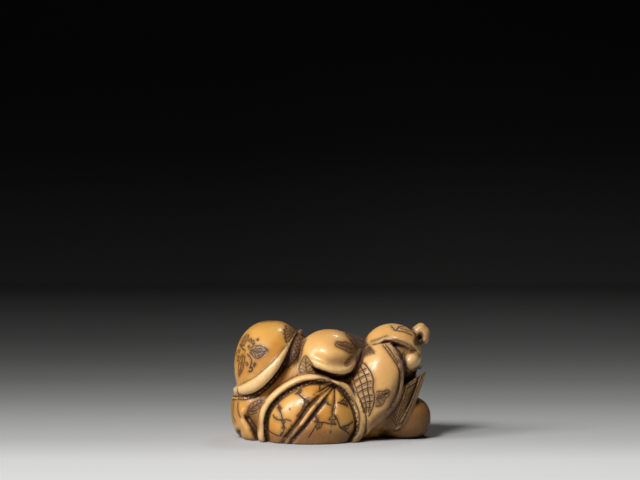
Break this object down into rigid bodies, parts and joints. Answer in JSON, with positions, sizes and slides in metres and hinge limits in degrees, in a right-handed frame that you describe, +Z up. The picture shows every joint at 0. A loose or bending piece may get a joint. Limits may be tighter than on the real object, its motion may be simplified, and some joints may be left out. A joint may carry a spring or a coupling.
{
  "type": "netsuke",
  "caption": "Carved toggle in the shape of a crouching robed figure bowed under a cap, with a flat underside and a cord channel",
  "frame": {"origin": "centre of the bounding box's bottom, on the surface the carving stands on", "axes": "+X along the body from the rump to the head, -Y the carving's right side, +Z up"},
  "size_m": [0.044, 0.0302, 0.0256],
  "materials": {
    "ivory": "aged ivory, polished and stained honey-brown in the cuts"
  },
  "bodies": {
    "root": {"carved_figure": "ivory"}
  },
  "joints": []
}
